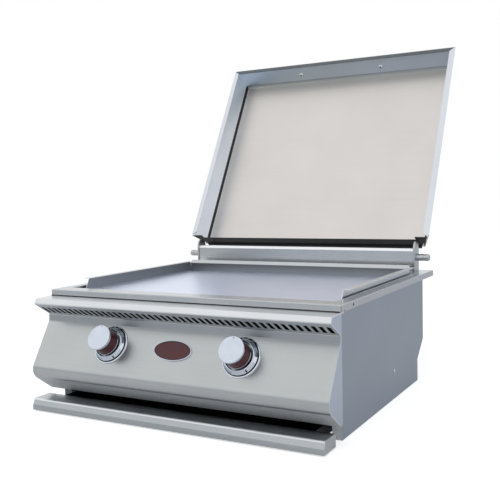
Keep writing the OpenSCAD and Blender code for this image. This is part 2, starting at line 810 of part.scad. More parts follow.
module lid_handle() color(bright_steel)
    on_lid() translate([0, post_y, post_z]) rotate([90 - lid_lean, 0, 0]) difference() {
        union() {
            translate([0, 0, bar_out]) rotate([0, 90, 0]) cylinder(r = bar_r, h = bar_len, center = true);
            for (side = [-1, 1]) translate([side * post_x, 0, 0]) cylinder(r = post_r, h = bar_out);
        }
        for (side = [-1, 1]) translate([side * post_x, 0, -over])
            cylinder(r = handle_screw_r + pin_fit, h = handle_screw_len + over);
    }

module handle_screw(side) color(chrome)
    on_lid() translate([side * post_x, post_y, post_z]) rotate([90 - lid_lean, 0, 0]) {
        translate([0, 0, -sheet]) cylinder(r = handle_screw_r, h = sheet + handle_screw_len - 1);
        translate([0, 0, -sheet]) rotate([180, 0, 0]) screw_head(handle_head_r, handle_head_h);
    }

// Drip tray: a shallow pan hung by its side rims, and a hollow grip across its front
module tray_runner(side) color(steel)
    on_side(side) plate_along(panel_front + sheet, burner_rear) folded([
        [runner_x, runner_low], [body_in, runner_low], [body_in, runner_top], [runner_x, runner_top]
    ]);

module drip_tray() color(steel) {
    difference() {
        translate([-pan_x, pan_front, rim_z - pan_h]) cube([2 * pan_x, pan_len, pan_h]);
        translate([sheet - pan_x, pan_front + sheet, rim_z - pan_h + sheet])
            cube([2 * (pan_x - sheet), pan_len - 2 * sheet, pan_h]);
    }
    for (side = [-1, 1])
        on_side(side) translate([pan_x - sheet, panel_front + 4 * sheet, rim_z - sheet])
            cube([pan_rim_x - pan_x + sheet, pan_front + pan_len - panel_front - 4 * sheet, sheet]);
}

module tray_front() color(bright_steel)
    translate([0, pan_front, 0])
        folded_across(concat(grip_outline, [[grip_fold - grip_d, grip_low]]), grip_w - 2 * sheet);

module tray_end(side) color(bright_steel)
    on_side(side) plate_across(grip_w / 2 - sheet, grip_w / 2)
        translate([pan_front, 0]) polygon(grip_outline);

side_panel(-1);  // side_panel_left
side_panel(1);  // side_panel_right
back_panel();
firebox_floor();
deck_frame();
control_panel();
panel_end(-1);  // panel_end_left
panel_end(1);  // panel_end_right
emblem_plate();
griddle_plate();
splash_side(-1);  // splash_left
splash_side(1);  // splash_right
splash_back();
griddle_rail(-1);  // griddle_rail_left
griddle_rail(1);  // griddle_rail_right
burner(-1);  // burner_left
burner(1);  // burner_right
burner_bar(bar_front_y);  // burner_bar_front
burner_bar(bar_rear_y);  // burner_bar_rear
igniter(-1);  // igniter_left
igniter(1);  // igniter_right
gas_manifold();
gas_feed_pipe();
gas_inlet();
gas_valve(-1);  // gas_valve_left
gas_valve(1);  // gas_valve_right
grease_chute();
bezel(-1);  // bezel_left
bezel(1);  // bezel_right
tray_runner(-1);  // tray_runner_left
tray_runner(1);  // tray_runner_right
side_screw(-1);  // side_screw_left
side_screw(1);  // side_screw_right
hinge_riser();
hinge_ear(-1);  // hinge_ear_left
hinge_ear(1);  // hinge_ear_right
hinge_rod();
lid_rest(-1);  // lid_rest_left
lid_rest(1);  // lid_rest_right
stem_collar(-1);  // stem_collar_left
stem_collar(1);  // stem_collar_right
valve_stem(-1);  // valve_stem_left
valve_stem(1);  // valve_stem_right
knob_core(-1);  // knob_core_left
knob_core(1);  // knob_core_right
knob_grip(-1);  // knob_grip_left
knob_grip(1);  // knob_grip_right
knob_cap(-1);  // knob_cap_left
knob_cap(1);  // knob_cap_right
lid_shell();
lid_arm(-1);  // lid_arm_left
lid_arm(1);  // lid_arm_right
lid_handle();
handle_screw(-1);  // handle_screw_left
handle_screw(1);  // handle_screw_right
drip_tray();
tray_front();
tray_end(-1);  // tray_end_left
tray_end(1);  // tray_end_right
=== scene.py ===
import json
import math

import bmesh
import bpy
from mathutils import Matrix, Vector


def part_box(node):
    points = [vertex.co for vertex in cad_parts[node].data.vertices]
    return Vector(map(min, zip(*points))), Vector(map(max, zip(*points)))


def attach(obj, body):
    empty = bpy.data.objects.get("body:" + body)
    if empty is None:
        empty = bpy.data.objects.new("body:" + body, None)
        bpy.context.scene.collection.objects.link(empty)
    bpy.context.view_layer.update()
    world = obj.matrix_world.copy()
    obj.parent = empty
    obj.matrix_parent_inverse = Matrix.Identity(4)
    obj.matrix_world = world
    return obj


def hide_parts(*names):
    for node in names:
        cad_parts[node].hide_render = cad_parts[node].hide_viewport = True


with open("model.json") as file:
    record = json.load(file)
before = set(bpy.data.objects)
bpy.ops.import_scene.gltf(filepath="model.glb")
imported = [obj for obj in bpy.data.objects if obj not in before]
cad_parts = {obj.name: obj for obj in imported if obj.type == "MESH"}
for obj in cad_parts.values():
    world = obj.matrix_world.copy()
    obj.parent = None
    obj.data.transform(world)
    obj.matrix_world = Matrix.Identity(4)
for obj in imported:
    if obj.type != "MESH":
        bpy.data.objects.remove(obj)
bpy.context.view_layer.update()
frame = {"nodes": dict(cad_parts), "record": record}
nodes = frame["nodes"]
bpy.context.scene.view_settings.view_transform = "Standard"


def linearColour(hexColour):
    # sRGB hex to the linear values that the shader sockets take
    values = [int(hexColour[i:i + 2], 16) / 255 for i in (1, 3, 5)]
    linear = [v / 12.92 if v <= 0.04045 else ((v + 0.055) / 1.055) ** 2.4 for v in values]
    return (*linear, 1)


def addNode(tree, kind, settings=None, links=None):
    node = tree.nodes.new(kind)
    for key, value in (settings or {}).items():
        if key in node.inputs:
            node.inputs[key].default_value = value
        else:
            setattr(node, key, value)
    for key, source in (links or {}).items():
        tree.links.new(source, node.inputs[key])
    return node


def emptyMaterial(name):
    material = bpy.data.materials.new(name)
    material.use_nodes = True
    material.node_tree.nodes.clear()
    return material, material.node_tree


print("camera")
view = {
    "place": (0.8003, -1.7346, 0.2065),
    "azimuth": 28.78,
    "down": 4.37,
    "roll": -1.34,
    "lens": 53.75,
}
azimuth, down, roll = (math.radians(view[k]) for k in ("azimuth", "down", "roll"))
look = Vector((-math.sin(azimuth) * math.cos(down), math.cos(azimuth) * math.cos(down), -math.sin(down)))
right = look.cross(Vector((0, 0, 1))).normalized()
up = right.cross(look)
cameraRight = math.cos(roll) * right + math.sin(roll) * up
cameraUp = -math.sin(roll) * right + math.cos(roll) * up
bpy.ops.object.camera_add(location=view["place"])
camera = bpy.context.object
camera.rotation_euler = Matrix((cameraRight, cameraUp, -look)).transposed().to_euler()
camera.data.lens = view["lens"]
camera.data.sensor_width = 36
camera.data.clip_start = 0.05
bpy.context.scene.camera = camera


print("light, floor and world")
studio = {
    "ambient": 0.55,
    "floorGlow": 0.62,
    "floorMirrored": 0.12,
    "floorDrop": 0.5,  # mm below the side panels
    # place, target, size in metres and power in watts
    "softboxes": {
        "keySoftbox": ((-1.9, -1.9, 1.7), (0, -0.3, 0.05), (1.4, 1.4), 12),
        "fillSoftbox": ((2.2, -1.2, 0.9), (0, -0.3, 0), (1.2, 1.6), 5),
        "topSoftbox": ((0, -0.6, 2.4), (0, -0.3, 0), (1.8, 1.2), 8),
    },
    # place, target, size in metres and colour
    "greyCards": {
        "rearCard": ((1.5, 1.7, 0.1), (0.3, -0.3, 0.1), (3.4, 1.6), "#C8CDD6"),
        "frontCard": ((-1.3, -2.6, 0.02), (0, -0.6, 0.02), (3.4, 0.60), "#BFC6CA"),
    },
}


def addSoftbox(name, place, target, size, power):
    # lights the grill, but isn't mirrored in its steel, so no hot patch shows
    bpy.ops.object.light_add(type="AREA", location=place)
    lamp = bpy.context.object
    lamp.name = name
    lamp.rotation_euler = (Vector(target) - Vector(place)).to_track_quat("-Z", "Y").to_euler()
    lamp.data.shape = "RECTANGLE"
    lamp.data.size, lamp.data.size_y = size
    lamp.data.energy = power
    lamp.visible_glossy = False


for name, setUp in studio["softboxes"].items():
    addSoftbox(name, *setUp)

world = bpy.data.worlds.new("studioWorld")
bpy.context.scene.world = world
world.use_nodes = True
tree = world.node_tree
tree.nodes.clear()


def addRaySwitch(tree, *kinds):
    # 1 for rays of these kinds, such as the camera's or a reflection's, and 0 for all others
    path = addNode(tree, "ShaderNodeLightPath")
    total = path.outputs[kinds[0]]
    for kind in kinds[1:]:
        either = addNode(tree, "ShaderNodeMath", {"operation": "MAXIMUM"})
        tree.links.new(total, either.inputs[0])
        tree.links.new(path.outputs[kind], either.inputs[1])
        total = either.outputs[0]
    return total


whiteRays = addRaySwitch(tree, "Is Camera Ray", "Is Glossy Ray", "Is Transmission Ray")
ambient = addNode(tree, "ShaderNodeBackground", {"Color": linearColour("#F4F6FA"), "Strength": studio["ambient"]})
white = addNode(tree, "ShaderNodeBackground", {"Color": (1, 1, 1, 1), "Strength": 1.0})
mixed = addNode(tree, "ShaderNodeMixShader", {}, {"Fac": whiteRays})
tree.links.new(ambient.outputs[0], mixed.inputs[1])
tree.links.new(white.outputs[0], mixed.inputs[2])
addNode(tree, "ShaderNodeOutputWorld", {}, {"Surface": mixed.outputs[0]})

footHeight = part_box("side_panel_right")[0].z
bpy.ops.mesh.primitive_plane_add(size=40, location=(0, 0, footHeight - studio["floorDrop"] / 1000))
floor = bpy.context.object
floor.name = "studioFloor"
floorPaint, tree = emptyMaterial("paleFloor")
lit = addNode(tree, "ShaderNodeBsdfDiffuse", {"Color": linearColour("#E8E8E8")})
total = lit.outputs[0]
for kind, strength in (("Is Camera Ray", studio["floorGlow"]), ("Is Glossy Ray", studio["floorMirrored"])):
    glow = addNode(tree, "ShaderNodeEmission", {"Color": (1, 1, 1, 1), "Strength": strength})
    dark = addNode(tree, "ShaderNodeEmission", {"Color": (0, 0, 0, 1), "Strength": 0})
    shown = addNode(tree, "ShaderNodeMixShader", {}, {"Fac": addRaySwitch(tree, kind)})
    tree.links.new(dark.outputs[0], shown.inputs[1])
    tree.links.new(glow.outputs[0], shown.inputs[2])
    both = addNode(tree, "ShaderNodeAddShader")
    tree.links.new(total, both.inputs[0])
    tree.links.new(shown.outputs[0], both.inputs[1])
    total = both.outputs[0]
addNode(tree, "ShaderNodeOutputMaterial", {}, {"Surface": total})
floor.data.materials.append(floorPaint)


def addCard(name, place, target, size, colour):
    # a grey card that only reflections see, as a photographer stands beside polished metal
    bpy.ops.mesh.primitive_plane_add(size=1, location=place)
    card = bpy.context.object
    card.name = name
    card.rotation_euler = (Vector(target) - Vector(place)).to_track_quat("Z", "Y").to_euler()
    card.scale = (*size, 1)
    card.visible_camera = card.visible_diffuse = card.visible_shadow = False
    paint, tree = emptyMaterial(name + "Paper")
    shade = addNode(tree, "ShaderNodeEmission", {"Color": linearColour(colour), "Strength": 1.0})
    addNode(tree, "ShaderNodeOutputMaterial", {}, {"Surface": shade.outputs[0]})
    card.data.materials.append(paint)


for name, setUp in studio["greyCards"].items():
    addCard(name, *setUp)


print("materials")


def brushedSteel(name, colour, shade, roughness, grain, across=0.8, along=120.0, fade=None):
    # the belt's lines spread each reflection across the grain, so the sheet looks satin
    # grain is the axis that the lines run along; across and along are the size of a line in mm, where a real one is
    # 0.1 mm across, which is too fine to show from here
    # fade is painted shade: it darkens the sheet from one height in mm to another, by the factor it ends with
    material, tree = emptyMaterial(name)
    place = addNode(tree, "ShaderNodeTexCoord").outputs["Object"]
    scales = [1000 / across] * 3
    scales[grain] = 1000 / along
    lines = addNode(tree, "ShaderNodeMapping", {"Scale": scales}, {"Vector": place})
    streaks = addNode(tree, "ShaderNodeTexNoise", {"Scale": 1.0, "Detail": 3.0, "Roughness": 0.6},
                      {"Vector": lines.outputs[0]})
    # broad soft patches, 150 mm or so, where the sheet was rubbed more
    clouds = addNode(tree, "ShaderNodeTexNoise", {"Scale": 7.0, "Detail": 2.0, "Roughness": 0.5}, {"Vector": place})
    both = addNode(tree, "ShaderNodeMix", {"data_type": "FLOAT", "Factor": 0.55},
                   {"A": streaks.outputs["Fac"], "B": clouds.outputs["Fac"]})
    tint = addNode(tree, "ShaderNodeValToRGB", {}, {"Fac": both.outputs[0]})
    tint.color_ramp.elements[0].position, tint.color_ramp.elements[1].position = 0.32, 0.68
    tint.color_ramp.elements[0].color = linearColour(shade)
    tint.color_ramp.elements[1].color = linearColour(colour)
    painted = tint.outputs["Color"]
    if fade:
        height = addNode(tree, "ShaderNodeSeparateXYZ", {}, {"Vector": place})
        start, end, factor = fade
        share = addNode(tree, "ShaderNodeMapRange",
                        {"From Min": start / 1000, "From Max": end / 1000, "To Min": 1.0, "To Max": factor},
                        {"Value": height.outputs["Z"]})
        painted = addNode(tree, "ShaderNodeVectorMath", {"operation": "SCALE"},
                          {"Vector": painted, "Scale": share.outputs[0]}).outputs[0]
    rough = addNode(tree, "ShaderNodeMapRange", {"To Min": roughness - 0.05, "To Max": roughness + 0.05},
                    {"Value": both.outputs[0]})
    bump = addNode(tree, "ShaderNodeBump", {"Strength": 0.06, "Distance": 0.00002},
                   {"Height": streaks.outputs["Fac"]})
    surface = addNode(tree, "ShaderNodeBsdfPrincipled", {"Metallic": 1.0},
                      {"Base Color": painted, "Roughness": rough.outputs[0],
                       "Normal": bump.outputs["Normal"]})
    addNode(tree, "ShaderNodeOutputMaterial", {}, {"Surface": surface.outputs[0]})
    return material


def plainFinish(name, colour, shade, roughness, metallic=0.0, cloud=4.0):
    # a cast, moulded, plated or blasted surface with no grain; cloud is the size of its faint mottling in mm
    material, tree = emptyMaterial(name)
    place = addNode(tree, "ShaderNodeTexCoord").outputs["Object"]
    clouds = addNode(tree, "ShaderNodeTexNoise", {"Scale": 1000 / cloud, "Detail": 3.0}, {"Vector": place})
    tint = addNode(tree, "ShaderNodeValToRGB", {}, {"Fac": clouds.outputs["Fac"]})
    tint.color_ramp.elements[0].position, tint.color_ramp.elements[1].position = 0.35, 0.65
    tint.color_ramp.elements[0].color = linearColour(shade)
    tint.color_ramp.elements[1].color = linearColour(colour)
    rough = addNode(tree, "ShaderNodeMapRange", {"To Min": roughness * 0.85, "To Max": roughness * 1.15},
                    {"Value": clouds.outputs["Fac"]})
    bump = addNode(tree, "ShaderNodeBump", {"Strength": 0.08, "Distance": 0.00001},
                   {"Height": clouds.outputs["Fac"]})
    surface = addNode(tree, "ShaderNodeBsdfPrincipled", {"Metallic": metallic},
                      {"Base Color": tint.outputs["Color"], "Roughness": rough.outputs[0],
                       "Normal": bump.outputs["Normal"]})
    addNode(tree, "ShaderNodeOutputMaterial", {}, {"Surface": surface.outputs[0]})
    return material


# stainless steel sheet: belt brushed where it shows, with the sides painted darker and bluer as painted shade
panelSteel = brushedSteel("stainlessBrushedPanel", "#C2C5C6", "#B6BABC", 0.30, 0)
sideShadedSteel = brushedSteel("stainlessSidePaintedShade", "#A5AEBA", "#9CA5B1", 0.36, 2)
brightSteel = brushedSteel("stainlessBrushedDeck", "#C6C9CC", "#BDC1C5", 0.27, 0)
lidSteel = brushedSteel("stainlessSatinLid", "#DEDAD7", "#D5D2CF", 0.40, 0, 1.5, 160.0)
# hot rolled plate, ground flat: a broad, slightly blue sheen
griddleSteel = brushedSteel("steelGroundGriddle", "#E8EEFF", "#DFE6FA", 0.34, 0, 1.2, 200.0)
# the inside, painted dark as painted shade for the shadow that fills the body
innerShadedSteel = brushedSteel("stainlessInnerPaintedShade", "#5C5F62", "#4F5255", 0.5, 1)
# chrome plate mirrors sharply, the phenolic and the enamel shine over a dark body, and brass is warm and turned
chrome = plainFinish("chromePolished", "#D2DAE6", "#CCD4E0", 0.08, 1.0, 20.0)
maroon = plainFinish("phenolicMaroonGloss", "#521A20", "#48161C", 0.24, 0.0, 6.0)
emblemPaint = plainFinish("enamelMaroon", "#582029", "#4F1C24", 0.3, 0.0, 6.0)
brass = plainFinish("brassMachined", "#C9A45A", "#BF9A50", 0.3, 1.0, 3.0)
# glazed ceramic on the spark electrodes, and black rubber that hardly shines
ceramic = plainFinish("ceramicGlazedWhite", "#E9E4DA", "#E1DCD0", 0.35)
rubber = plainFinish("rubberMouldedBlack", "#232326", "#1D1D20", 0.7)
finishOf = {"side_steel": sideShadedSteel, "panel_steel": panelSteel, "bright_steel": brightSteel, "lid_steel": lidSteel,
            "griddle_steel": griddleSteel, "inner_steel": innerShadedSteel, "chrome": chrome, "maroon": maroon,
            "emblem": emblemPaint, "brass": brass, "ceramic": ceramic, "rubber": rubber}
# finishes that only part of a piece wears: mostly the same sheet painted lighter or darker where it is bent or turned
# to or from the light, as painted light and painted shade
lidWallLit = brushedSteel("stainlessLidWallPaintedLight", "#F0F6FF", "#E6EEFA", 0.34, 1)
lidFrontShaded = brushedSteel("stainlessLidFrontPaintedShade", "#CDD6DA", "#C4CDD2", 0.32, 0)
lidLipLit = brushedSteel("stainlessLidLipPaintedLight", "#DDE1E7", "#D4D9E0", 0.34, 1)
lidFoldShaded = brushedSteel("stainlessLidFoldPaintedShade", "#9DA1A2", "#949899", 0.42, 0)
foldShade = brushedSteel("stainlessFoldPaintedShade", "#6E7478", "#63686D", 0.45, 0)
seamShade = brushedSteel("stainlessSeamPaintedShade", "#3E3F3E", "#333434", 0.5, 0)
# painted shade on the inner faces of the splash walls, and on the rear wall darker towards its top, under its lip
splashWallShade = brushedSteel("stainlessWallPaintedShade", "#9A9FA4", "#90959A", 0.38, 0)
rearWallShade = brushedSteel("stainlessRearWallPaintedShade", "#8C8F91", "#83878A", 0.38, 0, fade=(8, 23, 0.60))
# painted light low on the riser, with painted shade darker towards its top
riserLitAndShaded = brushedSteel("stainlessRiserPaintedLightAndShade", "#F0F2F4", "#E7EAEC", 0.27, 0, fade=(20, 44, 0.66))
# painted light, for faces turned to the light: the control panel's lip, the splash walls and the tray's roll
litSteel = brushedSteel("stainlessPaintedLight", "#E2E4E6", "#DADDE0", 0.30, 0)
neckShade = brushedSteel("stainlessNeckShaded", "#A9AEB2", "#A0A5AA", 0.36, 0)
traySteel = brushedSteel("stainlessBrushedTray", "#B9BEC1", "#B0B5B9", 0.27, 0)
capSteel = brushedSteel("stainlessBlueEndCap", "#C5CEDC", "#BDC6D4", 0.36, 2)
# painted highlight on rolled tops and cut ends
highlightSteel = brushedSteel("stainlessPaintedHighlight", "#F6F8FA", "#EEF0F3", 0.30, 0)
# even steel with no lines, painted lighter as painted light: on a side panel's fold, the slotted slope and the nose's
# underside
litFold = plainFinish("stainlessFoldPaintedLight", "#F0F4F8", "#E6EBF0", 0.5, 0.1, 5.0)
litSlope = plainFinish("stainlessSlopePaintedLight", "#C3C9CE", "#B8BFC4", 0.5, 0.35, 5.0)
litUnderside = plainFinish("stainlessUndersidePaintedLight", "#D2D6D8", "#C8CCCE", 0.5, 0.35, 5.0)
# polished screw heads, black painted shade behind the sheet and in the slots, black paint in the marks with painted
# shade in the screw sockets, and painted shade in the grooves of the bezel
screwSteel = plainFinish("stainlessScrewPolished", "#E4E8EA", "#DADEE0", 0.16, 1.0, 3.0)
backShade = plainFinish("paintedShadeBlack", "#141517", "#101113", 0.85, 0.0, 6.0)
markAndRecessShade = plainFinish("markPaintAndRecessShadeBlack", "#17181A", "#101113", 0.4)
bezelShade = plainFinish("chromePaintedShade", "#2A2C2E", "#222426", 0.3, 1.0, 6.0)

print("finishes on the CAD nodes")
nodeEdge = {"weld": 0.01, "flatWithin": 1, "radius": 0.4, "segments": 2, "sharpOver": 35}  # mm and degrees
slotOf = {part["node"]: part["material_slot"] for part in frame["record"]["subparts"]}
for name, node in nodes.items():
    node.data.materials.clear()
    node.data.materials.append(finishOf[slotOf.get(name, "inner_steel")])
    weld = node.modifiers.new("weld", "WELD")
    weld.merge_threshold = nodeEdge["weld"] / 1000
    planar = node.modifiers.new("planar", "DECIMATE")
    planar.decimate_type = "DISSOLVE"
    planar.angle_limit = math.radians(nodeEdge["flatWithin"])
    soften = node.modifiers.new("soften", "BEVEL")
    soften.width = nodeEdge["radius"] / 1000
    soften.segments = nodeEdge["segments"]
    soften.limit_method = "ANGLE"
    soften.angle_limit = math.radians(nodeEdge["sharpOver"])
    soften.harden_normals = True


print("modelling tools")


def clearSelection():
    if bpy.context.mode != "OBJECT":
        bpy.ops.object.mode_set(mode="OBJECT")
    bpy.ops.object.select_all(action="DESELECT")


def selectOnly(piece):
    clearSelection()
    piece.select_set(True)
    bpy.context.view_layer.objects.active = piece


def openForEdit(piece):
    selectOnly(piece)
    bpy.ops.object.mode_set(mode="EDIT")


def pick(piece, kind, test):
    # selects the faces, edges or points of a piece that pass the test, which gets the middle in mm and the normal
    # of a face, or the direction of an edge
    openForEdit(piece)
    bpy.ops.mesh.select_mode(type=kind)
    bpy.ops.mesh.select_all(action="DESELECT")
    mesh = bmesh.from_edit_mesh(piece.data)
    if kind == "FACE":
        for face in mesh.faces:
            face.select_set(test(face.calc_center_median() * 1000, face.normal))
    if kind == "EDGE":
        for edge in mesh.edges:
            start, end = (v.co * 1000 for v in edge.verts)
            edge.select_set(test((start + end) / 2, (end - start).normalized()))
    if kind == "VERT":
        for point in mesh.verts:
            point.select_set(test(point.co * 1000, None))
    mesh.select_flush_mode()
    bmesh.update_edit_mesh(piece.data)


def metres(values):
    return [v / 1000 for v in values]


def useModifier(piece, kind, **settings):
    # adds a modifier and applies it
    selectOnly(piece)
    modifier = piece.modifiers.new(kind.lower(), kind)
    for key, value in settings.items():
        setattr(modifier, key, value)
    bpy.ops.object.modifier_apply(modifier=modifier.name)


def turnNormalsOut(piece):
    # merges doubled points first, so that the faces join up
    openForEdit(piece)
    bpy.ops.mesh.select_all(action="SELECT")
    bpy.ops.mesh.remove_doubles(threshold=0.00001)
    bpy.ops.mesh.normals_make_consistent(inside=False)
    clearSelection()


def roundEdges(piece, radius, segments, test):
    # rounds the edges that pass the test
    pick(piece, "EDGE", test)
    bpy.ops.mesh.bevel(offset=radius / 1000, segments=segments, affect="EDGES")


def softenEdges(piece, width=0.3, segments=1):
    # breaks every sharp edge a little, as a deburring file does
    useModifier(piece, "BEVEL", width=width / 1000, segments=segments, limit_method="ANGLE",
                angle_limit=math.radians(60), miter_outer="MITER_ARC", use_clamp_overlap=True)


def cutAway(piece, *cutters):
    # takes the cutters out of the piece and removes them; a cut wall keeps its cutter's finish
    for cutter in cutters:
        useModifier(piece, "BOOLEAN", operation="DIFFERENCE", solver="EXACT", object=cutter,
                    material_mode="TRANSFER")
        bpy.data.objects.remove(cutter)


def joinOn(piece, *others):
    for other in others:
        useModifier(piece, "BOOLEAN", operation="UNION", solver="EXACT", object=other)
        bpy.data.objects.remove(other)


def paintPiece(piece, *finishes):
    piece.data.materials.clear()
    for finish in finishes:
        piece.data.materials.append(finish)


def paintFaces(piece, finish, test):
    # gives the faces that pass the test another finish
    if finish not in list(piece.data.materials):
        piece.data.materials.append(finish)
    pick(piece, "FACE", test)
    piece.active_material_index = list(piece.data.materials).index(finish)
    bpy.ops.object.material_slot_assign()
    clearSelection()


def addBox(name, low, high):
    clearSelection()
    size = [b - a for a, b in zip(low, high)]
    middle = [(a + b) / 2 for a, b in zip(low, high)]
    bpy.ops.mesh.primitive_cube_add(size=1, location=metres(middle), scale=metres(size))
    piece = bpy.context.object
    piece.name = name
    bpy.ops.object.transform_apply(location=True, rotation=True, scale=True)
    return piece


def addRod(name, start, end, radius, sides):
    clearSelection()
    start, end = Vector(metres(start)), Vector(metres(end))
    bpy.ops.mesh.primitive_cylinder_add(vertices=sides, radius=radius / 1000, depth=(end - start).length,
                                        location=(start + end) / 2,
                                        rotation=(end - start).to_track_quat("Z", "Y").to_euler())
    piece = bpy.context.object
    piece.name = name
    bpy.ops.object.transform_apply(location=True, rotation=True, scale=True)
    return piece


def onPlane(plane, a, b, c):
    # a and b in the drawing plane and c across it, as x, y and z
    return {"yz": (c, a, b), "xz": (a, c, b)}[plane]


def bendCorners(points, bends):
    # the same path with an arc of the given radius at each numbered corner
    path = []
    for i, point in enumerate(points):
        if i not in bends:
            path.append(Vector(point))
            continue
        corner = Vector(point)
        back = (Vector(points[i - 1]) - corner).normalized()
        ahead = (Vector(points[i + 1]) - corner).normalized()
        half = back.angle(ahead) / 2
        middle = corner + (back + ahead).normalized() * bends[i] / math.sin(half)
        start = corner + back * bends[i] / math.tan(half) - middle
        end = corner + ahead * bends[i] / math.tan(half) - middle
        sweep = start.angle(end)
        if start.x * end.y - start.y * end.x < 0:
            sweep = -sweep
        steps = max(2, math.ceil(abs(math.degrees(sweep)) / 7))
        path += [middle + Matrix.Rotation(sweep * k / steps, 2) @ start for k in range(steps + 1)]
    return path


def distanceTo(point, start, end):
    # from a point to the straight piece between start and end
    along = max(0, min(1, (point - start).dot(end - start) / (end - start).length_squared))
    return (start + (end - start) * along - point).length


def insetPath(path, distance):
    # the path moved sideways, to the left of its way
    moved = []
    for i, point in enumerate(path):
        ways = [(b - a).normalized() for a, b in zip(path[max(i - 1, 0):i + 1], path[max(i, 1):i + 2])
                if (b - a).length > 0]
        left = sum((Vector((-way.y, way.x)) for way in ways), Vector((0, 0))).normalized()
        moved.append(point + left * distance / max(0.4, left.dot(Vector((-ways[0].y, ways[0].x)))))
    return moved


def pushOn(step):
    # extrudes what is selected by this step in mm
    bpy.ops.mesh.extrude_region_move(TRANSFORM_OT_translate={"value": metres(step)})


def drawChain(name, path, plane, across):
    # one point, pushed on from corner to corner
    clearSelection()
    bpy.ops.mesh.primitive_plane_add(size=0.001)
    piece = bpy.context.object
    piece.name = name
    bpy.ops.object.mode_set(mode="EDIT")
    bpy.ops.mesh.select_mode(type="VERT")
    bpy.ops.mesh.select_all(action="SELECT")
    bpy.ops.mesh.merge(type="CENTER")
    bpy.ops.transform.translate(value=metres(onPlane(plane, *path[0], across)))
    for before, after in zip(path, path[1:]):
        pushOn(onPlane(plane, after[0] - before[0], after[1] - before[1], 0))
    return piece


def foldSheet(name, points, bends, plane, stations, thick):
    # a sheet folded along the points, with the bend radius of each corner, from station to station across the plane
    piece = drawChain(name, bendCorners(points, bends), plane, stations[0])
    bpy.ops.mesh.select_all(action="SELECT")
    for before, after in zip(stations, stations[1:]):
        pushOn(onPlane(plane, 0, 0, after - before))
    clearSelection()
    useModifier(piece, "SOLIDIFY", thickness=thick / 1000, offset=-1, use_even_offset=True)
    turnNormalsOut(piece)
    return piece


def cutPlate(name, points, plane, low, high):
    # a flat plate with this outline, from low to high across the plane
    piece = drawChain(name, points, plane, low)
    bpy.ops.mesh.select_all(action="SELECT")
    bpy.ops.mesh.edge_face_add()
    pushOn(onPlane(plane, 0, 0, high - low))
    clearSelection()
    turnNormalsOut(piece)
    return piece


def turnOnLathe(name, points, steps=72):
    # radius and height of the profile, spun round Z
    piece = drawChain(name, points, "xz", 0)
    bpy.ops.mesh.select_all(action="SELECT")
    bpy.ops.mesh.spin(steps=steps, angle=math.tau, center=(0, 0, 0), axis=(0, 0, 1))
    clearSelection()
    turnNormalsOut(piece)
    return piece


def place(piece, location, turn=(0, 0, 0)):
    # turns in degrees and moves in mm, and leaves both in the mesh
    selectOnly(piece)
    piece.location = metres(location)
    piece.rotation_euler = [math.radians(a) for a in turn]
    bpy.ops.object.transform_apply(location=True, rotation=True, scale=True)


def copyPiece(piece, name, mirrored=False):
    # a copy with its own mesh, or the same piece for the left side
    clearSelection()
    twin = piece.copy()
    twin.data = piece.data.copy()
    twin.name = name
    bpy.context.scene.collection.objects.link(twin)
    if mirrored:
        selectOnly(twin)
        twin.scale.x = -1
        bpy.ops.object.transform_apply(location=True, rotation=True, scale=True)
        turnNormalsOut(twin)
    return twin


def finishPiece(piece, finish, body, *replaced):
    # smooths it, fills each empty material slot, and hands it to its body in place of the CAD nodes
    selectOnly(piece)
    bpy.ops.object.shade_smooth_by_angle(angle=math.radians(35))
    useModifier(piece, "WEIGHTED_NORMAL", keep_sharp=True)
    if not piece.data.materials:
        piece.data.materials.append(finish)
    for i, known in enumerate(piece.data.materials):
        piece.data.materials[i] = known or finish
    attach(piece, body)
    if replaced:
        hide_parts(*replaced)


print("lid")
lid = {
    "halfWidth": 330, "front": -590, "rear": -40, "low": -25, "high": 31.5, "draft": 21.5,
    "sideLip": 15, "frontLip": 12, "sheet": 1.5, "bend": 3, "seam": 7,
    "armsHalf": 296, "rearWallFoot": -11,  # between the hinge arms the rear wall ends at this height
    "cornerCut": [(329, -30), (340, -30), (340, 24.5), (302, 24.5)], "cornerCutFrom": -47, "cornerCutTo": -30,
    "openAngle": -119.2, "hinge": (0, -9.3, 46),
}
panelLine, lipLine = lid["high"] - 1.5, lid["low"] + 1  # all that is past these heights is the panel or the lips
shell = addBox("lidShell", (-lid["halfWidth"], lid["front"], lid["low"]),
               (lid["halfWidth"], lid["rear"], lid["high"]))
pick(shell, "VERT", lambda middle, normal: middle.z > panelLine)
bpy.ops.transform.resize(value=(1 - lid["draft"] / lid["halfWidth"], 1, 1), center_override=(0, 0, 0))
pick(shell, "VERT", lambda middle, normal: middle.z > panelLine and middle.y < lid["front"] + 100)
bpy.ops.transform.translate(value=metres((0, lid["draft"], 0)))
pick(shell, "FACE", lambda middle, normal: normal.z < -0.9)
bpy.ops.mesh.inset(thickness=lid["frontLip"] / 1000)
innerHalf = lid["halfWidth"] - lid["frontLip"]
bpy.ops.transform.resize(value=((lid["halfWidth"] - lid["sideLip"]) / innerHalf, 1, 1), center_override=(0, 0, 0))
bpy.ops.mesh.delete(type="FACE")
pick(shell, "FACE", lambda middle, normal: normal.z < -0.9 and middle.y > lid["rear"] - 10)
bpy.ops.mesh.delete(type="FACE")
for x in (-lid["armsHalf"], lid["armsHalf"]):
    pick(shell, "FACE", lambda middle, normal: normal.y > 0.9)
    bpy.ops.mesh.bisect(plane_co=metres((x, 0, 0)), plane_no=(1, 0, 0))


def isBetweenArms(middle, normal):
    return normal.y > 0.9 and abs(middle.x) < lid["armsHalf"] - 6


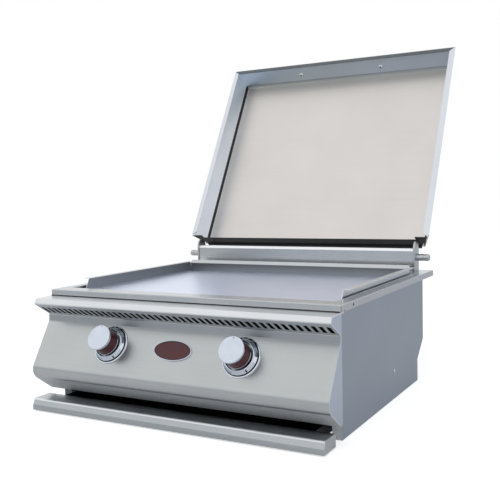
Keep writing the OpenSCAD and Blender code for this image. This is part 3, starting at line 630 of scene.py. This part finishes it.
pick(shell, "FACE", isBetweenArms)
bpy.ops.mesh.bisect(plane_co=metres((0, 0, lid["rearWallFoot"])), plane_no=(0, 0, 1))
pick(shell, "FACE", lambda middle, normal: isBetweenArms(middle, normal) and middle.z < lid["rearWallFoot"])
bpy.ops.mesh.delete(type="FACE")
paintPiece(shell, lidSteel)
# painted light on the side walls and painted shade on the front wall
paintFaces(shell, lidWallLit, lambda middle, normal: abs(normal.x) > 0.8)
paintFaces(shell, lidFrontShaded, lambda middle, normal: normal.y < -0.8)
# painted shade on the front lip and on the rear wall
paintFaces(shell, foldShade, lambda middle, normal: normal.z < -0.9 and abs(middle.x) < 100)
paintFaces(shell, seamShade, lambda middle, normal: normal.y > 0.9)
# folds along the lips and round the flat panel
roundEdges(shell, lid["bend"], 4, lambda middle, way: abs(way.z) < 0.1 and middle.z < lipLine and (
    abs(middle.x) > lid["halfWidth"] - 1 or middle.y < lid["front"] + 1))
roundEdges(shell, lid["seam"], 4, lambda middle, way: abs(way.z) < 0.1 and middle.z > panelLine)


def isFold(middle, normal):
    # the bend between a wall and the panel, on the lid's inside
    return middle.z > lid["high"] - 9.5 and -0.98 < normal.z < -0.02


# painted light on the side lips
paintFaces(shell, lidLipLit, lambda middle, normal: normal.z < -0.7 and abs(middle.x) > 310)
useModifier(shell, "SOLIDIFY", thickness=lid["sheet"] / 1000, offset=-1, use_even_offset=True)
# painted shade in the folds: lighter along the front, dark along the sides
paintFaces(shell, lidFoldShaded, lambda middle, normal: isFold(middle, normal) and abs(normal.y) > 0.1)
paintFaces(shell, seamShade, lambda middle, normal: isFold(middle, normal) and abs(normal.x) > 0.1)
# both rear corners are cut off at a slant
for side in (-1, 1):
    cutter = cutPlate("cornerCut", [(side * x, z) for x, z in lid["cornerCut"]], "xz",
                      lid["cornerCutFrom"], lid["cornerCutTo"])
    paintPiece(cutter, lidSteel)
    cutAway(shell, cutter)
softenEdges(shell)


def swingOpen(piece):
    # from lying closed on the deck to open round the rod
    place(piece, lid["hinge"], (lid["openAngle"], 0, 0))


swingOpen(shell)
finishPiece(shell, lidSteel, "lid", "lid_shell")

# a soft strip along the foot of the rear wall
seal = {"halfWidth": 301, "thick": 3, "low": 21, "high": 31, "round": 1.2}
strip = addBox("lidSeal", (-seal["halfWidth"], lid["rear"], seal["low"]),
               (seal["halfWidth"], lid["rear"] + seal["thick"], seal["high"]))
roundEdges(strip, seal["round"], 3, lambda middle, way: abs(way.x) > 0.9 and middle.y > lid["rear"] + 2)
swingOpen(strip)
finishPiece(strip, rubber, "lid")

print("lid's screws")
lidScrew = {
    "x": 120, "y": -577.9, "z": 6.8, "lean": 20.83, "proud": 1.5, "socketRadius": 2.9, "socketDepth": 2.6,
    "profile": [(0, -4.4), (2.6, -4.3), (4.7, -3.6), (6.2, -2.2), (6.9, -0.8), (7, 0), (7, 1.4), (3, 1.4),
                (3, 8), (0, 8)],
}
screwFirst = turnOnLathe("handleScrew_right", lidScrew["profile"], 36)
paintPiece(screwFirst, screwSteel)
# the socket's walls are painted black: painted shade in the recess
socket = addRod("socket", (0, 0, -6), (0, 0, -lidScrew["socketDepth"]), lidScrew["socketRadius"], 6)
paintPiece(socket, markAndRecessShade)
cutAway(screwFirst, socket)
screwSecond = copyPiece(screwFirst, "handleScrew_left")
for piece, side, name in ((screwFirst, 1, "right"), (screwSecond, -1, "left")):
    place(piece, (0, 0, -lidScrew["proud"]))
    place(piece, (side * lidScrew["x"], lidScrew["y"], lidScrew["z"]), (90 - lidScrew["lean"], 0, 0))
    swingOpen(piece)
    finishPiece(piece, chrome, "lid", "handle_screw_" + name)

print("deck")
deck = {
    "halfWidth": 330, "front": -560, "rear": 30, "height": 13, "corner": 6, "bend": 2,
    "pilotY": -504, "pilotZ": 6.5, "pilotRadius": 2.5,
    # what is cut out of it, from one corner to the other
    "cuts": {
        "hollow": ((-328.5, -558.5, 1.5), (328.5, 28.5, 11.5)),
        "griddleOpening": ((-304, -522, -5), (304, -60, 20)),
        "bodyOpening": ((-320, -547, -5), (320, -30, 5)),
        "frontOpening": ((-328.5, -558.5, -5), (328.5, -545, 5)),
        "reliefCuts": ((-335, -548, -5), (335, -545, 3)),
    },
}
ring = addBox("deckFrame", (-deck["halfWidth"], deck["front"], 0),
              (deck["halfWidth"], deck["rear"], deck["height"]))
roundEdges(ring, deck["corner"], 6, lambda middle, way: abs(way.z) > 0.9)
roundEdges(ring, deck["bend"], 4, lambda middle, way: middle.z > deck["height"] - 0.1)
cutAway(ring, *[addBox(name, low, high) for name, (low, high) in deck["cuts"].items()],
        addRod("pilotHoles", (-340, deck["pilotY"], deck["pilotZ"]), (340, deck["pilotY"], deck["pilotZ"]),
               deck["pilotRadius"], 32))
softenEdges(ring)
finishPiece(ring, brightSteel, "body", "deck_frame")

# a dark strip where the deck stands on the control panel's shelf: painted shadow along the joint
bead = {"halfWidth": 327, "front": -560.7, "rear": -559, "height": 1.7, "round": 0.6}
jointShadowStrip = addBox("jointShadowBead", (-bead["halfWidth"], bead["front"], 0),
                 (bead["halfWidth"], bead["rear"], bead["height"]))
roundEdges(jointShadowStrip, bead["round"], 3, lambda middle, way: abs(way.x) > 0.9 and middle.z > 1 and middle.y < -560)
finishPiece(jointShadowStrip, rubber, "body")

print("control panel")
panel = {
    "halfWidth": 330, "sheet": 1.5,
    "slots": 46, "pitch": 14.2, "slotWidth": 8, "slotLength": 28, "slotCorner": 2, "slotPlace": 28.65,
    "slotReach": 6,  # how far the cutter goes through the sheet
    "shelfOver": -30, "neck": (-56, -40), "noseUnder": -175,  # heights between which each finish lies
    "outline": [(-548, 0), (-560, 0), (-604, -1), (-609, -12), (-567, -38), (-568, -52), (-569, -54),
                (-628.54, -153.1), (-569, -196)],
    "bends": {2: 3, 3: 3, 4: 3, 5: 1, 6: 1, 7: 23},
}
slotSpan = panel["slots"] / 2 * panel["pitch"]
between = [panel["pitch"] * k - slotSpan for k in range(panel["slots"] + 1)]
fascia = foldSheet("controlPanel", panel["outline"], panel["bends"], "yz",
                   [-panel["halfWidth"], *between, panel["halfWidth"]], panel["sheet"])
panelPath = bendCorners(panel["outline"], panel["bends"])


def isBack(middle, normal):
    # the back of the sheet lies its thickness behind the drawn outline
    nearest = min(distanceTo(Vector((middle.y, middle.z)), a, b) for a, b in zip(panelPath, panelPath[1:]))
    return nearest > 0.8 * panel["sheet"]


lipPoint, neckPoint = (Vector((0, *panel["outline"][k])) for k in (3, 4))
slope = (neckPoint - lipPoint).normalized()
slopeTurn = math.degrees(math.atan2(slope.z, slope.y))
slotMiddle = lipPoint + slope * panel["slotPlace"]
slotCutter = addBox("slotCutter", (-panel["slotWidth"] / 2, -panel["slotLength"] / 2, -panel["slotReach"]),
                    (panel["slotWidth"] / 2, panel["slotLength"] / 2, panel["slotReach"]))
roundEdges(slotCutter, panel["slotCorner"], 3, lambda middle, way: abs(way.z) > 0.9)
place(slotCutter, (-(panel["slots"] - 1) / 2 * panel["pitch"], slotMiddle.y, slotMiddle.z), (slopeTurn, 0, 0))
useModifier(slotCutter, "ARRAY", count=panel["slots"], use_relative_offset=False, use_constant_offset=True,
            constant_offset_displace=(panel["pitch"] / 1000, 0, 0))
# the slots' cut walls take painted shade, so that the slots read black
paintPiece(slotCutter, backShade)


def facesSlope(normal):
    # 1 where a face looks the way that the slotted slope does
    return normal.y * slope.z - normal.z * slope.y


paintPiece(fascia, panelSteel)
# painted light on the shelf and the lip, painted shade on the neck, painted light on the slope and the underside, a
# painted highlight on the cut ends, and painted shade on the back of the sheet
paintFaces(fascia, litSteel, lambda middle, normal: middle.z > panel["shelfOver"] and facesSlope(normal) < 0.9)
paintFaces(fascia, neckShade, lambda middle, normal: panel["neck"][0] < middle.z < panel["neck"][1])
paintFaces(fascia, litSlope, lambda middle, normal: facesSlope(normal) > 0.98)
paintFaces(fascia, highlightSteel, lambda middle, normal: abs(normal.x) > 0.9)
paintFaces(fascia, litUnderside, lambda middle, normal: middle.z < panel["noseUnder"] and normal.z < -0.75)
paintFaces(fascia, backShade, isBack)
cutAway(fascia, slotCutter)
softenEdges(fascia)
finishPiece(fascia, panelSteel, "body", "control_panel")

# a black sheet behind the slots, painted shade that makes them read black
slotShade = {"low": (-303, -563, -50), "high": (303, -561.8, -12), "round": 0.3}
darkSheet = addBox("slotShadeSheet", slotShade["low"], slotShade["high"])
roundEdges(darkSheet, slotShade["round"], 2, lambda middle, way: abs(way.x) > 0.9)
paintPiece(darkSheet, backShade)
finishPiece(darkSheet, rubber, "body")

print("panel ends")
# the outline one sheet further in, with the bends one sheet tighter, or wider at the neck
panelEnd = {
    "x": (327.5, 329), "rear": -559, "bends": {1: 1.5, 2: 1.5, 3: 4.5, 6: 21.5},
    "stepFrom": (303.5, -561.5, -110), "stepHigh": -12, "stepRear": -540, "stepWeld": 0.4,
}
endPath = bendCorners(insetPath([Vector(point) for point in panel["outline"][1:]], panel["sheet"]),
                      panelEnd["bends"])
endFirst = drawChain("panelEnd_right", endPath, "yz", panelEnd["x"][0])
bpy.ops.mesh.select_all(action="SELECT")
pushOn((0, 1, 0))
# the pushed side is pressed flat onto the rear plane, so that the end is all quads
bpy.ops.transform.resize(value=(1, 0, 1), center_override=metres((0, panelEnd["rear"], 0)))
bpy.ops.mesh.select_all(action="SELECT")
pushOn((panel["sheet"], 0, 0))
turnNormalsOut(endFirst)
stepX, stepY = panelEnd["stepFrom"][:2]
joinOn(endFirst,
       addBox("step", panelEnd["stepFrom"],
              (panelEnd["x"][1] - panelEnd["stepWeld"], stepY + panel["sheet"], panelEnd["stepHigh"])),
       addBox("stepFoot", panelEnd["stepFrom"], (stepX + panel["sheet"], panelEnd["stepRear"], panelEnd["stepHigh"])))
softenEdges(endFirst)
endSecond = copyPiece(endFirst, "panelEnd_left", True)
for piece, name in ((endFirst, "right"), (endSecond, "left")):
    paintPiece(piece, capSteel)
    # painted shade on the inner faces and the step, seen through the slots
    paintFaces(piece, backShade, lambda middle, normal: abs(middle.x) < panelEnd["x"][0] + 0.1)
    finishPiece(piece, sideShadedSteel, "body", "panel_end_" + name)

print("side panels")
sidePanel = {
    "x": (318.5, 320), "front": -540, "low": -230, "high": 11.5, "sheet": 1.5, "frontFold": 19, "topFold": 14,
    "foldWeld": 0.5, "topFoldFront": -538.8, "topFoldRear": -46, "screwHole": 2.2, "edge": 0.4,
    "outline": [(-540, 11.5), (-30, 11.5), (-30, -141), (-76, -181), (-76, -230), (-540, -230)],
}
insideX, outsideX = sidePanel["x"]
foldX = insideX + sidePanel["foldWeld"]
sideFirst = cutPlate("sidePanel_right", sidePanel["outline"], "yz", insideX, outsideX)
joinOn(sideFirst,
       addBox("frontFold", (outsideX - sidePanel["frontFold"], sidePanel["front"], sidePanel["low"]),
              (foldX, sidePanel["front"] + sidePanel["sheet"], sidePanel["high"])),
       addBox("topFold", (outsideX - sidePanel["topFold"], sidePanel["topFoldFront"],
                          sidePanel["high"] - sidePanel["sheet"]),
              (foldX, sidePanel["topFoldRear"], sidePanel["high"])))
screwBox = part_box("side_screw_right")
screwY, screwZ = ((screwBox[0][k] + screwBox[1][k]) / 2 * 1000 for k in (1, 2))
cutAway(sideFirst, addRod("screwHole", (300, screwY, screwZ), (330, screwY, screwZ), sidePanel["screwHole"], 24))
softenEdges(sideFirst, sidePanel["edge"], 2)
sideSecond = copyPiece(sideFirst, "sidePanel_left", True)
# the front fold is painted light on the right and painted shade on the left
for piece, foldFinish, name in ((sideFirst, litFold, "right"), (sideSecond, foldShade, "left")):
    paintPiece(piece, sideShadedSteel)
    paintFaces(piece, foldFinish, lambda middle, normal: normal.y < -0.9)
    finishPiece(piece, sideShadedSteel, "body", "side_panel_" + name)

print("knobs, bezels and emblem plate")
knob = {
    "x": 148, "faceMiddle": (-588.88, -87.087), "lean": 31,
    "dimpleLow": (-0.7, 20.6, 42.2), "dimpleHigh": (0.7, 22.8, 44),
}
knobFace = (90 - knob["lean"], 0, 0)
knobParts = {
    "cap": (chrome, [(0, 40), (24.5, 40), (24.9, 40.3), (25.3, 40.7), (25.5, 41.2), (25.5, 41.9), (25.2, 42.5),
                     (24.7, 42.9), (24.0, 43), (23.2, 42.85), (0, 42.8)]),
    "core": (chrome, [(4, 12), (25.1, 12), (25.5, 12.3), (25.5, 13.6), (25.1, 14), (12, 14), (12, 35), (23.1, 35),
                      (23.6, 35.3), (23.8, 36), (23.9, 40), (0, 40), (0, 31), (4, 31)]),
    "grip": (maroon, [(12, 14), (24.2, 14), (24.9, 14.5), (24.9, 16), (24.2, 22), (23.6, 30), (23.2, 34.4),
                      (22.6, 35), (12, 35)]),
}
for part, (finish, profile) in knobParts.items():
    first = turnOnLathe("knob_" + part + "_right", profile)
    paintPiece(first, finish)
    if part == "cap":
        dimple = addBox("indexDimple", knob["dimpleLow"], knob["dimpleHigh"])
        paintPiece(dimple, markAndRecessShade)
        cutAway(first, dimple)
    second = copyPiece(first, "knob_" + part + "_left")
    for piece, side, x in ((first, "right", knob["x"]), (second, "left", -knob["x"])):
        place(piece, (x, *knob["faceMiddle"]), knobFace)
        finishPiece(piece, finish, "knob_" + side, "knob_" + part + "_" + side)

bezel = {
    "profile": [(28, 0), (38.1, 0), (38.5, 0.3), (38.5, 1.2), (38.1, 1.6), (36.2, 1.9), (35.6, 2.4), (35.3, 3.6),
                (34.6, 4.6), (33.0, 6.6), (31.9, 8.2), (31.4, 8.9), (30.8, 9.1), (30.4, 9.6), (30.2, 10.4),
                (29.6, 10.9), (28.7, 11), (28.2, 10.7), (28, 10)],
    "bore": 28.1, "groove": (34.9, 36.5),
    "tickLow": (31.0, -1.4, 5), "tickHigh": (35.4, 1.4, 12), "tickTurn": -52,
}


def inShade(middle, normal):
    # the bore and the groove round the foot
    out = math.hypot(middle.x, middle.y)
    return out < bezel["bore"] or bezel["groove"][0] < out < bezel["groove"][1]


bezelFirst = turnOnLathe("bezel_ring_right", bezel["profile"])
paintPiece(bezelFirst, chrome)
# painted shade in the bore and the groove
paintFaces(bezelFirst, bezelShade, inShade)
tick = addBox("tick", bezel["tickLow"], bezel["tickHigh"])
paintPiece(tick, markAndRecessShade)
place(tick, (0, 0, 0), (0, 0, bezel["tickTurn"]))
cutAway(bezelFirst, tick)
bezelSecond = copyPiece(bezelFirst, "bezel_ring_left")
for piece, side, x in ((bezelFirst, "right", knob["x"]), (bezelSecond, "left", -knob["x"])):
    place(piece, (x, *knob["faceMiddle"]), knobFace)
    finishPiece(piece, chrome, "body", "bezel_" + side)

emblem = {"width": 85, "height": 41, "thick": 2.6, "rim": 1.5, "groove": 1.5, "deep": 1.0, "edge": 0.5}
clearSelection()
bpy.ops.mesh.primitive_cylinder_add(vertices=96, radius=0.5, depth=emblem["thick"] / 1000)
plate = bpy.context.object
plate.name = "emblemPlate"
plate.scale = (emblem["width"] / 1000, emblem["height"] / 1000, 1)
plate.location.z = emblem["thick"] / 2000
bpy.ops.object.transform_apply(location=True, rotation=True, scale=True)
paintPiece(plate, emblemPaint, chrome)
pick(plate, "FACE", lambda middle, normal: True)
plate.active_material_index = 1
bpy.ops.object.material_slot_assign()
pick(plate, "FACE", lambda middle, normal: normal.z > 0.9)
bpy.ops.mesh.inset(thickness=emblem["rim"] / 1000)
bpy.ops.mesh.inset(thickness=emblem["groove"] / 1000, depth=-emblem["deep"] / 1000)
plate.active_material_index = 0
bpy.ops.object.material_slot_assign()
paintFaces(plate, markAndRecessShade, lambda middle, normal: 0.1 < normal.z < 0.9)
roundEdges(plate, emblem["edge"], 3, lambda middle, way: middle.z > emblem["thick"] - 0.05
           and (middle.x / (emblem["width"] / 2)) ** 2 + (middle.y / (emblem["height"] / 2)) ** 2 > 0.98)
place(plate, (0, *knob["faceMiddle"]), knobFace)
finishPiece(plate, emblemPaint, "body", "emblem_plate")

print("hinge riser and rod")
riser = {
    "halfWidth": 296.5, "sheet": 1.5, "rollAbove": 60,
    "outline": [(-15, 60), (-15, 68), (-24, 68), (-24, 13), (0, 13)], "bends": {1: 1.6, 2: 7, 3: 2},
}
riserPiece = foldSheet("hingeRiser", riser["outline"], riser["bends"], "yz",
                       (-riser["halfWidth"], riser["halfWidth"]), riser["sheet"])
softenEdges(riserPiece)
# painted light and shade on the riser, with a painted highlight on the roll
paintPiece(riserPiece, riserLitAndShaded)
paintFaces(riserPiece, highlightSteel, lambda middle, normal: middle.z > riser["rollAbove"] and normal.z > -0.1)
finishPiece(riserPiece, brightSteel, "body", "hinge_riser")

# radius and place of one half, with the groove for a retaining ring near its end
rod = {"half": [(8, 318), (7.3, 318.4), (7.3, 320.6), (8, 321), (8, 328.6), (7.4, 330.2), (5.5, 331), (0, 331)]}
rodPiece = turnOnLathe("hingeRod", [(radius, -x) for radius, x in reversed(rod["half"])] + rod["half"], 48)
place(rodPiece, lid["hinge"], (0, 90, 0))
finishPiece(rodPiece, panelSteel, "body", "hinge_rod")

print("griddle and splash walls")
splash = {
    "x": 298, "lip": 15, "sheet": 1.5, "front": -486, "slant": 13, "rear": -66, "low": 3.5, "high": 28, "bend": 2,
    "backOutline": [(-58, 32), (-66, 24), (-66, 3.5)], "backBend": 4,
}
wall = foldSheet("splashWall_right", [(splash["x"], splash["low"]), (splash["x"], splash["high"]),
                                      (splash["x"] + splash["lip"], splash["high"])], {1: splash["bend"]}, "xz",
                 (splash["front"], splash["rear"]), splash["sheet"])
# its front end is cut at a slant
openForEdit(wall)
bpy.ops.mesh.select_all(action="SELECT")
cutDirection = Vector((0, splash["high"] - splash["low"], -splash["slant"])).normalized()
bpy.ops.mesh.bisect(plane_co=metres((0, splash["front"], splash["low"])), plane_no=cutDirection,
                    use_fill=True, clear_inner=True)
clearSelection()
softenEdges(wall)
# painted light on the wall, with painted shade on its inner face
paintPiece(wall, litSteel)
paintFaces(wall, splashWallShade, lambda middle, normal: normal.x < -0.9)
otherWall = copyPiece(wall, "splashWall_left", True)
finishPiece(wall, brightSteel, "body", "splash_right")
finishPiece(otherWall, brightSteel, "body", "splash_left")
backWall = foldSheet("splashWall_back", splash["backOutline"], {1: splash["backBend"]}, "yz",
                     (-splash["x"], splash["x"]), splash["sheet"])
softenEdges(backWall)
paintPiece(backWall, brightSteel)
# painted shade on the rear wall's face, darker towards its top
paintFaces(backWall, rearWallShade, lambda middle, normal: normal.y < -0.9)
finishPiece(backWall, brightSteel, "body", "splash_back")

griddle = {
    "halfWidth": 300, "front": -518, "rear": -62, "low": -2.5, "high": 3.5, "edge": 0.8,
    "slotHalf": 60, "slotFront": -504, "slotRear": -488, "slotCorner": 4,
}
griddlePiece = addBox("griddlePlate", (-griddle["halfWidth"], griddle["front"], griddle["low"]),
                      (griddle["halfWidth"], griddle["rear"], griddle["high"]))
slot = addBox("drainSlot", (-griddle["slotHalf"], griddle["slotFront"], -20),
              (griddle["slotHalf"], griddle["slotRear"], 20))
roundEdges(slot, griddle["slotCorner"], 4, lambda middle, way: abs(way.z) > 0.9)
cutAway(griddlePiece, slot)
softenEdges(griddlePiece, griddle["edge"], 3)
finishPiece(griddlePiece, griddleSteel, "body", "griddle_plate")

print("tray")
tray = {
    "halfWidth": 322.5, "sheet": 1.5, "brightAhead": -610,
    "outline": [(-580, -228), (-580, -204.5), (-625, -204.5), (-631, -218.5), (-631, -228), (-620, -228)],
    "bends": {1: 2, 2: 6, 3: 12, 4: 2},
}
trayGrip = foldSheet("trayGrip", tray["outline"], tray["bends"], "yz",
                     (-tray["halfWidth"], tray["halfWidth"]), tray["sheet"])
softenEdges(trayGrip)
paintPiece(trayGrip, traySteel)
# painted highlight along the roll
paintFaces(trayGrip, litSteel, lambda middle, normal: middle.y < tray["brightAhead"] and 0.45 < normal.z < 0.97)
finishPiece(trayGrip, brightSteel, "tray", "tray_front")
